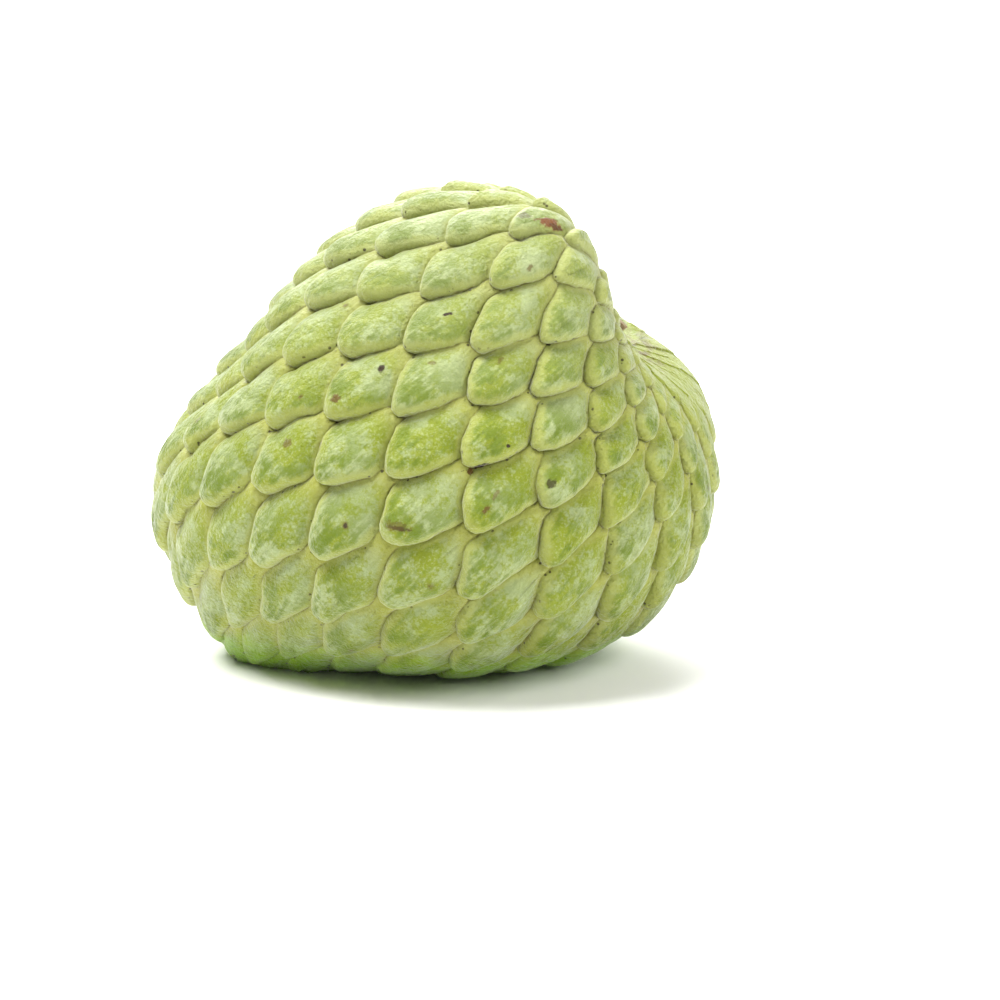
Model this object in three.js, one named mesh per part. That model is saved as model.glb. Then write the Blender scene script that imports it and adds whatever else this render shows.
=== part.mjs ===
// A whole custard apple lying on its side, in millimetres, +Z up.
// The fruit is one closed skin. Its body is a ball with a few swellings and hollows, and it is covered
// by overlapping scales set in rings round the stem axis, each ring half a scale out of step with the next.
// A short woody stalk stub stands in the stem hollow.

import * as THREE from "three";

// Body: radius of the ball and where its centre lies above the surface that the fruit rests on.
const BODY_RADIUS = 53.6;
const BODY_CENTRE = new THREE.Vector3(4.7, 0.7, 39);

// Swellings and hollows: direction in degrees from the centre, height, and angular width in radians.
const SWELLINGS = [
  { place: "crown", azimuth: 335, elevation: 80, height: 17.5, width: 0.49 },
  { place: "left belly", azimuth: 171, elevation: -1, height: 18.5, width: 0.53 },
  { place: "right lobe", azimuth: 2, elevation: 4, height: 6.2, width: 0.49 },
  { place: "upper left waist", azimuth: 180, elevation: 27, height: -7.1, width: 0.27 },
  { place: "flattened base", azimuth: 0, elevation: -90, height: -15.8, width: 0.64 },
  { place: "left heel", azimuth: 182, elevation: -41, height: 7.6, width: 0.22 },
  { place: "right heel", azimuth: 3, elevation: -38, height: 1.9, width: 0.39 },
  { place: "front face", azimuth: 266, elevation: -5, height: 2.2, width: 0.53 },
  { place: "shoulder over the stem hollow", azimuth: 310, elevation: 59, height: 10, width: 0.19 },
  { place: "ridge below the stem hollow", azimuth: 17, elevation: 27, height: 6, width: 0.24 },
];
const STEM_HOLLOW_DEPTH = 14.8;
const STEM_HOLLOW_WIDTH = 0.4;

// Axis that the rings of scales are set round, and how far its two ends bend back.
const AXIS_AZIMUTH = -11;
const AXIS_ELEVATION = 48;
const FACE_AZIMUTH = 270;
const FACE_ELEVATION = 12;
const AXIS_BEND = 0.145;

// Rings: the angle from the stem grows by a step that widens slowly, then closes in on the apex.
const COLUMNS = 20;
const FIRST_RING = -3;
const LAST_RING = 15;
const MIDDLE_RING = 4;
const MIDDLE_POLAR_DEG = 71;
const RING_STEP_DEG = 9.71;
const RING_GROWTH_DEG = 0.283;
const FIRST_APEX_RING = 10;
const APEX_CLOSING = 0.33;
const FACE_TURN_DEG = -2.1;

// The rings lean, more so near the stem, and wave twice in a round. The columns twist slowly round the axis.
const LEAN_FACE_DEG = -5.5;
const LEAN_SIDE_DEG = -14.9;
const STEM_LEAN_SHARE = 0.79;
const WAVE_FACE_DEG = 6;
const WAVE_SIDE_DEG = 4.2;
const TWIST_DEG = -2.1;

// Scales: where their edges run, as shares of a ring step and of half a scale's width.
const TIP_HALF_WIDTH = 0.26;
const LEFT_EDGE_COLUMNS = 0.34;
const RIGHT_EDGE_COLUMNS = 0.42;
const RIM_INSET = 0.24;
const CORNER_WANDER = 0.09;
const FIRST_LARGE_RING = 0;
const LAST_LARGE_RING = 11;

// Heights over the body, in millimetres.
const GROOVE_HEIGHT = -1.9;
const RIM_HEIGHT = 0.1;
const TIP_LIFT = 0.7;
const CROWN_HEIGHT = 0.9;
const SMALL_CROWN_HEIGHT = 0.2;
const CROWN_SHIFT_RINGS = 0.1;
const HEIGHT_WANDER = 0.25;
const APEX_HEIGHT = -0.9;

// Stem hollow floor and stalk stub.
const FLOOR_RADIUS = 5.4;
const FLOOR_DROP = 3.2;
const STUB_GAP = 0.3;
const STUB_LENGTH = 7;
const STUB_FOOT_RADIUS = 4;
const STUB_NECK_RADIUS = 3;
const STUB_NECK_SHARE = 0.45;
const STUB_CUT_RADIUS = 3.5;
const STUB_BEVEL = 0.6;
const STUB_SIDES = 14;

const SEED = 20;

// Colours: the fruit's yellow-green skin and the stub's brown wood.
const SKIN_COLOUR = 0xa9bf62;
const WOOD_COLOUR = 0x6f5a38;

// Constants of the repeatable random draw.
const DRAW_FACTOR = 1664525;
const DRAW_STEP = 1013904223;
const DRAW_RANGE = 2 ** 32;

// Returns a seeded source of even random numbers from -1 to 1.
function wander(seed) {
  let state = seed;
  return () => {
    state = (state * DRAW_FACTOR + DRAW_STEP) % DRAW_RANGE;
    return (state / DRAW_RANGE) * 2 - 1;
  };
}

// Returns the unit vector that points to an azimuth and elevation in degrees.
function direction(azimuth, elevation) {
  const turn = THREE.MathUtils.degToRad(azimuth);
  const rise = THREE.MathUtils.degToRad(elevation);
  return new THREE.Vector3(
    Math.cos(rise) * Math.cos(turn),
    Math.cos(rise) * Math.sin(turn),
    Math.sin(rise),
  );
}

// The lattice frame: the ring axis, the side that faces forward, and the side across it.
const AXIS = direction(AXIS_AZIMUTH, AXIS_ELEVATION);
const FACE = direction(FACE_AZIMUTH, FACE_ELEVATION).projectOnPlane(AXIS).normalize();
const ACROSS = new THREE.Vector3().crossVectors(AXIS, FACE);

// Returns the direction of a polar angle from the stem and a turn round the axis, both in radians.
function bentDirection(polar, turn) {
  return AXIS.clone()
    .multiplyScalar(Math.cos(polar))
    .addScaledVector(FACE, Math.sin(polar) * Math.cos(turn) - AXIS_BEND)
    .addScaledVector(ACROSS, Math.sin(polar) * Math.sin(turn))
    .normalize();
}

const STEM = bentDirection(0, 0);

// Returns a ring's angle from the stem, in degrees, before it leans.
function ringPolar(ring) {
  const step = Math.min(ring, FIRST_APEX_RING) - MIDDLE_RING;
  const polar = MIDDLE_POLAR_DEG + RING_STEP_DEG * step + RING_GROWTH_DEG * step * step;
  const past = Math.max(ring - FIRST_APEX_RING, 0);
  return 180 - (180 - polar) * Math.exp(-APEX_CLOSING * past);
}

// Returns the direction of a place in the scale lattice: a ring and a column in half scales.
function latticeDirection(ring, column) {
  const polar = THREE.MathUtils.degToRad(ringPolar(ring));
  const turnDeg = FACE_TURN_DEG + TWIST_DEG * (polar - Math.PI / 2);
  const turn = THREE.MathUtils.degToRad(turnDeg) + (column * Math.PI) / COLUMNS;
  const leanDeg = LEAN_FACE_DEG * Math.cos(turn) + LEAN_SIDE_DEG * Math.sin(turn);
  const waveDeg = WAVE_FACE_DEG * Math.cos(2 * turn) + WAVE_SIDE_DEG * Math.sin(2 * turn);
  const shiftDeg = leanDeg * (1 + STEM_LEAN_SHARE * Math.cos(polar)) + waveDeg;
  return bentDirection(polar + THREE.MathUtils.degToRad(shiftDeg) * Math.sin(polar), turn);
}

// Returns the body's radius in a direction.
function bodyRadius(unit) {
  let radius = BODY_RADIUS;
  for (const swelling of SWELLINGS) {
    const closeness = unit.dot(direction(swelling.azimuth, swelling.elevation)) - 1;
    radius += swelling.height * Math.exp(closeness / swelling.width ** 2);
  }
  const fromStem = unit.angleTo(STEM);
  return radius - STEM_HOLLOW_DEPTH * Math.exp(-((fromStem / STEM_HOLLOW_WIDTH) ** 2));
}

// Returns the point of a lattice place at a height over the body, kept above the resting plane.
function skinPoint(ring, column, height) {
  const unit = latticeDirection(ring, column);
  const point = unit.multiplyScalar(bodyRadius(unit) + height).add(BODY_CENTRE);
  point.z = Math.max(point.z, 0);
  return point;
}

// Collects the points and triangles of a closed skin.
class Skin {
  constructor() {
    this.positions = [];
    this.triangles = [];
  }

  addPoint(point) {
    this.positions.push(point.x, point.y, point.z);
    return this.positions.length / 3 - 1;
  }

  // Joins two loops of equal length, the outer one first.
  addBand(outer, inner) {
    for (let i = 0; i < outer.length; i += 1) {
      const next = (i + 1) % outer.length;
      this.triangles.push(outer[i], outer[next], inner[next]);
      this.triangles.push(outer[i], inner[next], inner[i]);
    }
  }

  // Closes a loop with triangles to one middle point.
  addFan(loop, middle) {
    for (let i = 0; i < loop.length; i += 1) {
      this.triangles.push(loop[i], loop[(i + 1) % loop.length], middle);
    }
  }

  toGeometry() {
    const geometry = new THREE.BufferGeometry();
    geometry.setAttribute("position", new THREE.Float32BufferAttribute(this.positions, 3));
    geometry.setIndex(this.triangles);
    geometry.computeVertexNormals();
    return geometry;
  }
}

// The net of grooves between the scales: where the grooves meet, and the middle of each long side.
class GrooveNet {
  constructor(skin) {
    this.skin = skin;
    this.places = new Map();
    const random = wander(SEED);
    for (let ring = FIRST_RING; ring <= LAST_RING; ring += 1) {
      for (let column = Math.abs(ring % 2); column < 2 * COLUMNS; column += 2) {
        const ringPlace = ring + CORNER_WANDER * random();
        const columnPlace = column + CORNER_WANDER * random();
        this.addPlace("left", ring, column, ringPlace, columnPlace - TIP_HALF_WIDTH);
        this.addPlace("right", ring, column, ringPlace, columnPlace + TIP_HALF_WIDTH);
      }
    }
    for (let ring = FIRST_RING; ring < LAST_RING; ring += 1) {
      for (let column = Math.abs(ring % 2); column < 2 * COLUMNS; column += 2) {
        this.addPlace("side left", ring, column, ring + 0.5, column - RIGHT_EDGE_COLUMNS);
        this.addPlace("side right", ring, column, ring + 0.5, column + LEFT_EDGE_COLUMNS);
      }
    }
  }

  addPlace(kind, ring, column, ringPlace, columnPlace) {
    const point = this.skin.addPoint(skinPoint(ringPlace, columnPlace, GROOVE_HEIGHT));
    this.places.set(`${kind} ${ring} ${column}`, { point, ring: ringPlace, column: columnPlace });
  }

  // Returns a place, with its column unwound to lie beside the scale that asks for it.
  place(kind, ring, column) {
    const round = 2 * COLUMNS;
    const wrapped = ((column % round) + round) % round;
    const found = this.places.get(`${kind} ${ring} ${wrapped}`);
    return { ...found, column: found.column + column - wrapped };
  }
}

// Returns the places round one scale, from its tip past its right side, root and left side.
function scaleOutline(net, ring, column) {
  const outline = [];
  if (ring < LAST_RING) {
    outline.push(net.place("left", ring + 1, column));
    outline.push(net.place("right", ring + 1, column));
    outline.push(net.place("side left", ring, column + 1));
  }
  outline.push(net.place("left", ring, column + 1));
  if (ring > FIRST_RING) {
    outline.push(net.place("side right", ring - 1, column));
    outline.push(net.place("right", ring - 1, column));
    outline.push(net.place("left", ring - 1, column));
    outline.push(net.place("side left", ring - 1, column));
  }
  outline.push(net.place("right", ring, column - 1));
  if (ring < LAST_RING) {
    outline.push(net.place("side right", ring, column - 1));
  }
  return outline;
}

// Adds one cushion-like scale, highest towards its tip.
function addScale(skin, net, ring, column, lift) {
  const outline = scaleOutline(net, ring, column);
  const edge = outline.map((place) => place.point);
  const isLarge = ring >= FIRST_LARGE_RING && ring <= LAST_LARGE_RING;
  if (!isLarge) {
    const crown = skin.addPoint(skinPoint(ring, column, SMALL_CROWN_HEIGHT + lift));
    skin.addFan(edge, crown);
    return;
  }
  const rim = outline.map((place) => {
    const rimRing = THREE.MathUtils.lerp(place.ring, ring, RIM_INSET);
    const rimColumn = THREE.MathUtils.lerp(place.column, column, RIM_INSET);
    const height = RIM_HEIGHT + lift + TIP_LIFT * (rimRing - ring);
    return skin.addPoint(skinPoint(rimRing, rimColumn, height));
  });
  const crown = skin.addPoint(skinPoint(ring + CROWN_SHIFT_RINGS, column, CROWN_HEIGHT + lift));
  skin.addBand(edge, rim);
  skin.addFan(rim, crown);
}

// Returns the closed ring of groove points round the stem hollow or round the apex.
function endLoop(net, ring) {
  const loop = [];
  for (let column = Math.abs(ring % 2); column < 2 * COLUMNS; column += 2) {
    loop.push(net.place("left", ring, column).point);
    loop.push(net.place("right", ring, column).point);
  }
  return loop;
}

// Returns the middle of the stem hollow's floor.
function floorCentre() {
  return STEM.clone().multiplyScalar(bodyRadius(STEM) - FLOOR_DROP).add(BODY_CENTRE);
}

// Closes the stem end with a sloping wall down to a flat round floor.
function addStemFloor(skin, net) {
  const outer = endLoop(net, FIRST_RING);
  const middle = floorCentre();
  const floor = outer.map((index) => {
    const offset = new THREE.Vector3().fromArray(skin.positions, 3 * index).sub(middle);
    offset.projectOnPlane(STEM).setLength(FLOOR_RADIUS);
    return skin.addPoint(offset.add(middle));
  });
  skin.addBand(outer, floor);
  skin.addFan(floor, skin.addPoint(middle));
}

// Closes the apex with one small button.
function addApex(skin, net) {
  const outer = endLoop(net, LAST_RING).reverse();
  const apex = bentDirection(Math.PI, 0);
  const tip = apex.multiplyScalar(bodyRadius(apex) + APEX_HEIGHT).add(BODY_CENTRE);
  skin.addFan(outer, skin.addPoint(tip));
}

function makeFruit() {
  const skin = new Skin();
  const net = new GrooveNet(skin);
  const random = wander(SEED + 1);
  for (let ring = FIRST_RING; ring <= LAST_RING; ring += 1) {
    for (let column = Math.abs((ring + 1) % 2); column < 2 * COLUMNS; column += 2) {
      addScale(skin, net, ring, column, HEIGHT_WANDER * random());
    }
  }
  addStemFloor(skin, net);
  addApex(skin, net);
  const material = new THREE.MeshStandardMaterial({ color: SKIN_COLOUR, roughness: 0.62, metalness: 0 });
  const mesh = new THREE.Mesh(skin.toGeometry(), material);
  mesh.name = "fruit";
  return mesh;
}

function makeStalkStub() {
  const profile = [
    new THREE.Vector2(0, STUB_GAP),
    new THREE.Vector2(STUB_FOOT_RADIUS, STUB_GAP),
    new THREE.Vector2(STUB_NECK_RADIUS, STUB_GAP + STUB_NECK_SHARE * STUB_LENGTH),
    new THREE.Vector2(STUB_CUT_RADIUS, STUB_LENGTH - STUB_BEVEL),
    new THREE.Vector2(STUB_CUT_RADIUS - STUB_BEVEL, STUB_LENGTH),
    new THREE.Vector2(0, STUB_LENGTH),
  ];
  const material = new THREE.MeshStandardMaterial({ color: WOOD_COLOUR, roughness: 0.85, metalness: 0 });
  const mesh = new THREE.Mesh(new THREE.LatheGeometry(profile, STUB_SIDES), material);
  mesh.name = "stalk_stub";
  mesh.position.copy(floorCentre());
  mesh.quaternion.setFromUnitVectors(new THREE.Vector3(0, 1, 0), STEM);
  return mesh;
}

const custardApple = new THREE.Group();
custardApple.add(makeFruit(), makeStalkStub());

export default custardApple;
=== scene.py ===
"""A whole custard apple lying on its side, dressed for a studio picture.

The fruit's skin is one closed mesh. Overlapping scales stand in rings round the stem axis, each ring
half a scale out of step with the next, and share one net of creases, so that they cover the whole fruit.
The net is laid on the smooth body in code, and a Geometry Nodes tree raises the scales from it.
"""

import logging
import math
from dataclasses import dataclass, field
from enum import Enum

import bpy
import numpy as np
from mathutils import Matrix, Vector


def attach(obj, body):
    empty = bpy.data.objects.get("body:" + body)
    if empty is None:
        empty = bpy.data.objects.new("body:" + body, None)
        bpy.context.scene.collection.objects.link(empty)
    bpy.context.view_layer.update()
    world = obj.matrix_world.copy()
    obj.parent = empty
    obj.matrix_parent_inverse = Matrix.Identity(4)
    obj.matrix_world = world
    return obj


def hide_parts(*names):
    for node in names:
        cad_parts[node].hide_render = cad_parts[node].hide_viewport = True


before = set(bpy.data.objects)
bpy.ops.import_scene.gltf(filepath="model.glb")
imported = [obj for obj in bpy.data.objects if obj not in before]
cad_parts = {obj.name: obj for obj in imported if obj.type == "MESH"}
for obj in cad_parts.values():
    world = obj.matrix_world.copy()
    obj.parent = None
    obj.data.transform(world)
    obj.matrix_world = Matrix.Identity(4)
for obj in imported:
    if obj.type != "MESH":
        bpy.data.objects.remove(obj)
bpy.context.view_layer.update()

MM = 0.001
LOG = logging.getLogger("custard_apple")

Socket = bpy.types.NodeSocket
Colour = tuple[float, float, float]
Point = tuple[float, float, float]
Pair = tuple[float, float]


class Attribute(Enum):
    """Names of the mesh attributes that the relief tree and the skin's finish read."""

    FROM_TIP = "from_tip"
    FROM_ROOT = "from_root"
    ALONG = "along"
    TIPWARD = "tipward"
    ACROSS = "across"
    LIFT = "lift"
    BOLDNESS = "boldness"
    GROOVE = "groove"
    OUTWARD = "outward"
    ASIDE = "aside"
    SCALE = "scale_number"


class Wander:
    """A repeatable source of even random numbers from -1 to 1."""

    FACTOR = 1664525
    STEP = 1013904223
    RANGE = 2**32

    def __init__(self, seed: int) -> None:
        """Starts the draw from a seed."""
        self.state = seed

    def draw(self) -> float:
        """Returns the next number of the draw."""
        self.state = (self.state * self.FACTOR + self.STEP) % self.RANGE
        return self.state / self.RANGE * 2 - 1


def direction(azimuth: float, elevation: float) -> np.ndarray:
    """Finds a unit vector.

    Args:
        azimuth: Degrees from +X towards +Y.
        elevation: Degrees above the horizontal.

    Returns:
        The unit vector.
    """
    turn, rise = math.radians(azimuth), math.radians(elevation)
    return np.array([math.cos(rise) * math.cos(turn), math.cos(rise) * math.sin(turn), math.sin(rise)])


def unit(vectors: np.ndarray) -> np.ndarray:
    """Scales each row of an array to length one."""
    return vectors / np.linalg.norm(vectors, axis=-1, keepdims=True)


@dataclass(frozen=True)
class Swelling:
    """A swelling of the body, or a hollow where its height is below zero.

    Its place is in degrees, its height in metres and its width in radians.
    """

    azimuth: float
    elevation: float
    height: float
    width: float


@dataclass
class FruitBody:
    """The smooth body under the scales, and the lattice of rings and columns laid on it.

    The directions are in degrees, the width of the stem hollow in radians.
    """

    ball_radius: float = 53.6 * MM
    centre: Point = (4.7 * MM, 0.7 * MM, 39.0 * MM)
    crown: Swelling = Swelling(335, 80, 17.5 * MM, 0.49)
    left_belly: Swelling = Swelling(171, -1, 18.5 * MM, 0.53)
    right_lobe: Swelling = Swelling(2, 4, 6.2 * MM, 0.49)
    upper_left_waist: Swelling = Swelling(180, 27, -7.1 * MM, 0.27)
    flattened_base: Swelling = Swelling(0, -90, -15.8 * MM, 0.64)
    left_heel: Swelling = Swelling(182, -41, 7.6 * MM, 0.22)
    right_heel: Swelling = Swelling(3, -38, 1.9 * MM, 0.39)
    front_face: Swelling = Swelling(266, -5, 2.2 * MM, 0.53)
    hollow_shoulder: Swelling = Swelling(310, 59, 10.0 * MM, 0.19)
    hollow_ridge: Swelling = Swelling(17, 27, 6.0 * MM, 0.24)
    stem_hollow_depth: float = 14.8 * MM
    stem_hollow_width: float = 0.4
    axis_azimuth: float = -11
    axis_elevation: float = 48
    face_azimuth: float = 270
    face_elevation: float = 12
    axis_bend: float = 0.145
    columns: int = 20
    first_ring: int = -3
    last_ring: int = 15
    middle_ring: int = 4
    middle_polar_deg: float = 71.0
    ring_step_deg: float = 9.71
    ring_growth_deg: float = 0.283
    first_apex_ring: int = 10
    apex_closing: float = 0.33
    face_turn_deg: float = -2.1
    lean_face_deg: float = -5.5
    lean_side_deg: float = -14.9
    stem_lean_share: float = 0.79
    wave_face_deg: float = 6.0
    wave_side_deg: float = 4.2
    twist_deg: float = -2.1
    step_probe: float = 0.02

    def __post_init__(self) -> None:
        """Works out the lattice frame from the driving angles."""
        self.axis = direction(self.axis_azimuth, self.axis_elevation)
        face = direction(self.face_azimuth, self.face_elevation)
        self.face = unit(face - self.axis * (face @ self.axis))
        self.across = np.cross(self.axis, self.face)
        self.stem = self.bent_direction(np.zeros(1), np.zeros(1))[0]
        self.apex = self.bent_direction(np.full(1, math.pi), np.zeros(1))[0]

    def bent_direction(self, polar: np.ndarray, turn: np.ndarray) -> np.ndarray:
        """Finds directions from the bent axis.

        Args:
            polar: Angles from the stem, in radians.
            turn: Turns round the axis, in radians.

        Returns:
            One unit vector a row.
        """
        along_axis = np.cos(polar)[:, None] * self.axis
        along_face = (np.sin(polar) * np.cos(turn) - self.axis_bend)[:, None] * self.face
        along_side = (np.sin(polar) * np.sin(turn))[:, None] * self.across
        return unit(along_axis + along_face + along_side)

    def ring_polar_deg(self, ring: np.ndarray) -> np.ndarray:
        """Finds how far from the stem each ring lies before it leans.

        Args:
            ring: Ring numbers, with fractions between rings.

        Returns:
            The angles from the stem, in degrees.
        """
        step = np.minimum(ring, self.first_apex_ring) - self.middle_ring
        polar = self.middle_polar_deg + self.ring_step_deg * step + self.ring_growth_deg * step**2
        past = np.maximum(ring - self.first_apex_ring, 0)
        return 180 - (180 - polar) * np.exp(-self.apex_closing * past)

    def lattice_direction(self, ring: np.ndarray, column: np.ndarray) -> np.ndarray:
        """Finds the directions of places in the lattice.

        Args:
            ring: Ring numbers, with fractions between rings.
            column: Columns counted in half scales.

        Returns:
            One unit vector a row.
        """
        polar = np.radians(self.ring_polar_deg(ring))
        turn = np.radians(self.face_turn_deg + self.twist_deg * (polar - math.pi / 2))
        turn = turn + column * math.pi / self.columns
        lean = self.lean_face_deg * np.cos(turn) + self.lean_side_deg * np.sin(turn)
        wave = self.wave_face_deg * np.cos(2 * turn) + self.wave_side_deg * np.sin(2 * turn)
        shift = np.radians(lean * (1 + self.stem_lean_share * np.cos(polar)) + wave)
        return self.bent_direction(polar + shift * np.sin(polar), turn)

    def radius(self, units: np.ndarray) -> np.ndarray:
        """Measures the body.

        Args:
            units: One unit vector a row.

        Returns:
            The body's radius in each of those directions.
        """
        radius = np.full(len(units), self.ball_radius)
        for swelling in (part for part in vars(self).values() if isinstance(part, Swelling)):
            closeness = units @ direction(swelling.azimuth, swelling.elevation) - 1
            radius += swelling.height * np.exp(closeness / swelling.width**2)
        from_stem = np.arccos(np.clip(units @ self.stem, -1, 1))
        return radius - self.stem_hollow_depth * np.exp(-((from_stem / self.stem_hollow_width) ** 2))

    def point_towards(self, out: np.ndarray) -> np.ndarray:
        """Returns the body's surface point in one direction."""
        return out * self.radius(out[None])[0] + np.array(self.centre)

    def points(self, ring: np.ndarray, column: np.ndarray) -> np.ndarray:
        """Returns the body's surface points at lattice places."""
        units = self.lattice_direction(ring, column)
        return units * self.radius(units)[:, None] + np.array(self.centre)

    def steps(self, ring: np.ndarray, column: np.ndarray) -> tuple[np.ndarray, np.ndarray]:
        """Finds how the surface point moves for a whole ring and for a column.

        Args:
            ring: Ring numbers.
            column: Columns counted in half scales.

        Returns:
            The move for one ring towards the apex, and the move for one column.
        """
        reach = self.step_probe
        along = self.points(ring + reach, column) - self.points(ring - reach, column)
        across = self.points(ring, column + reach) - self.points(ring, column - reach)
        return along / (2 * reach), across / (2 * reach)


@dataclass(frozen=True)
class Place:
    """A vertex of the crease net at its place in the lattice."""

    vertex: int
    ring: float
    column: float


@dataclass
class ScaleNet:
    """The creases between the scales, and the patches of skin that they bound.

    Widths and wanders along the net are in rings and in columns, which are half scales.
    """

    body: FruitBody
    tip_half_width: float = 0.21
    broad_tip_half_width: float = 0.32
    broadening_rings: Pair = (4, 9)
    tip_reach: float = 0.08
    tip_width_wander: float = 0.07
    left_side: tuple[Pair, ...] = ((0.30, 0.76), (0.68, 0.53))
    right_side: tuple[Pair, ...] = ((0.30, 0.67), (0.68, 0.46))
    side_wander: float = 0.04
    crinkle: float = 0.014
    crinkle_across: float = 1.5
    corner_wander: float = 0.09
    height_wander: float = 0.25 * MM
    seed: int = 20
    side_steps: tuple[int, ...] = (3, 3, 2)
    tip_steps: tuple[int, ...] = (2, 2)
    end_steps: int = 5
    large_levels: tuple[float, ...] = (0.035, 0.08, 0.14, 0.22, 0.34, 0.5, 0.72)
    small_levels: tuple[float, ...] = (0.08, 0.22, 0.5)
    first_large_ring: int = 0
    last_large_ring: int = 11
    groove_wander: float = 0.22
    corner_pit: float = 0.35
    pit_fade: int = 12
    spine_share: float = 0.6
    edge_samples: int = 8
    least_gap: float = 0.001 * MM

    def __post_init__(self) -> None:
        """Lays the whole net and every patch."""
        self.round = 2 * self.body.columns
        self.ring: list[float] = []
        self.column: list[float] = []
        self.groove: list[float] = []
        self.lift: list[float] = []
        self.aside: list[Pair] = []
        self.own_scale: list[int] = []
        self.outlines: list[tuple[list[int], list[int]]] = []
        self.faces: list[tuple[int, ...]] = []
        self.corner_data: list[tuple[float, float, int]] = []
        self.middles: list[Pair] = []
        self.corners: dict[tuple[str, int, int], Place] = {}
        self.curves: dict[tuple[int, int], dict[str, list[Place]]] = {}
        self.draw = Wander(self.seed + 2)
        self.lay_corners()
        self.lay_curves()
        self.lay_scales()

    def add_vertex(self, ring: float, column: float, groove: float = 1.0) -> int:
        """Adds a vertex, at first as one of the net itself at the bottom of a crease.

        Args:
            ring: Its ring place.
            column: Its column place.
            groove: How deep the crease is there, as a share of the usual depth.

        Returns:
            The vertex's number.
        """
        self.ring.append(ring)
        self.column.append(column)
        self.groove.append(groove)
        self.lift.append(0.0)
        self.aside.append((0.0, 0.0))
        self.own_scale.append(-1)
        return len(self.ring) - 1

    def columns_of(self, ring: int, for_corners: bool) -> range:
        """Returns the columns of a ring's corners or scales, in half scales."""
        start = abs(ring % 2) if for_corners else abs((ring + 1) % 2)
        return range(start, self.round, 2)

    def lay_corners(self) -> None:
        """Places the two crease corners at each scale's tip."""
        wander = Wander(self.seed)
        for ring in range(self.body.first_ring, self.body.last_ring + 1):
            for column in self.columns_of(ring, for_corners=True):
                ring_place = ring + self.corner_wander * wander.draw()
                column_place = column + self.corner_wander * wander.draw()
                half_width = self.tip_width(ring) + self.tip_width_wander * self.draw.draw()
                for name, shift in (("left", -half_width), ("right", half_width)):
                    groove = 1 + self.corner_pit + self.groove_wander * self.draw.draw()
                    vertex = self.add_vertex(ring_place, column_place + shift, groove)
                    place = Place(vertex, ring_place, column_place + shift)
                    self.corners[name, ring, column] = place

    def tip_width(self, ring: int) -> float:
        """Returns half the width of the tips that end at a ring, broader towards the apex."""
        widths = (self.tip_half_width, self.broad_tip_half_width)
        return float(np.interp(ring, self.broadening_rings, widths))

    def corner(self, name: str, ring: int, column: int) -> Place:
        """Finds a corner, with its column unwound to lie beside the scale that asks.

        Args:
            name: Which corner of the scale's tip, left or right.
            ring: The corner's ring.
            column: Its column, past either end of the round too.

        Returns:
            The corner's place.
        """
        wrapped = column % self.round
        found = self.corners[name, ring, wrapped]
        return Place(found.vertex, found.ring, found.column + column - wrapped)

    def curve(self, controls: list[Pair], piece: int, steps: int) -> list[Pair]:
        """Samples one piece of a smooth curve through control points.

        Args:
            controls: Ring and column of each control point.
            piece: The number of the piece's first control point.
            steps: How many steps the piece is cut into.

        Returns:
            The places between the piece's two ends, without the ends.
        """
        spots = np.array(controls)
        start, end = spots[piece], spots[piece + 1]
        leave = (end - spots[piece - 1]) / 2 if piece > 0 else end - start
        arrive = (spots[piece + 2] - start) / 2 if piece + 2 < len(spots) else end - start
        places = []
        for step in range(1, steps):
            t = step / steps
            blend = (2 * t**3 - 3 * t**2 + 1) * start + (t**3 - 2 * t**2 + t) * leave
            blend = blend + (3 * t**2 - 2 * t**3) * end + (t**3 - t**2) * arrive
            places.append((float(blend[0]), float(blend[1])))
        return places

    def run(self, ends: tuple[Place, Place], between: list[Pair]) -> list[Place]:
        """Adds the vertices between two corners.

        Args:
            ends: The corners at the two ends.
            between: The places between them.

        Returns:
            Every place of the run, with both ends.
        """
        places = [ends[0]]
        depth = 1 + self.groove_wander * self.draw.draw()
        for ring, column in between:
            ring += self.crinkle * self.draw.draw()
            column += self.crinkle_across * self.crinkle * self.draw.draw()
            places.append(Place(self.add_vertex(ring, column, depth), ring, column))
        places.append(ends[1])
        return places

    def lay_curves(self) -> None:
        """Lays the tip edge of every scale: up its left side, round its tip and down its right side."""
        for ring in range(self.body.first_ring, self.body.last_ring + 1):
            for column in self.columns_of(ring, for_corners=False):
                left = self.corner("right", ring, column - 1)
                right = self.corner("left", ring, column + 1)
                if ring == self.body.last_ring:
                    self.curves[ring, column] = {"tip": self.straight(left, right)}
                    continue
                tip_left = self.corner("left", ring + 1, column)
                tip_right = self.corner("right", ring + 1, column)
                left_side = [self.beside(ring, column, place, -1) for place in self.left_side]
                right_side = [self.beside(ring, column, place, 1) for place in reversed(self.right_side)]
                controls = [(left.ring, left.column), *left_side, (tip_left.ring, tip_left.column)]
                middle = ((tip_left.column + tip_right.column) / 2, (tip_left.ring + tip_right.ring) / 2)
                controls.append((middle[1] + self.tip_reach, middle[0]))
                controls += [(tip_right.ring, tip_right.column), *right_side, (right.ring, right.column)]
                tip = len(left_side) + 1
                up = self.through(controls, 0, self.side_steps)
                round_tip = self.through(controls, tip, self.tip_steps)
                down_steps = tuple(reversed(self.side_steps))
                down = self.through(controls, tip + len(self.tip_steps), down_steps)
                self.curves[ring, column] = {
                    "left": self.run((left, tip_left), up),
                    "tip": self.run((tip_left, tip_right), round_tip),
                    "right": self.run((tip_right, right), down),
                }

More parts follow.
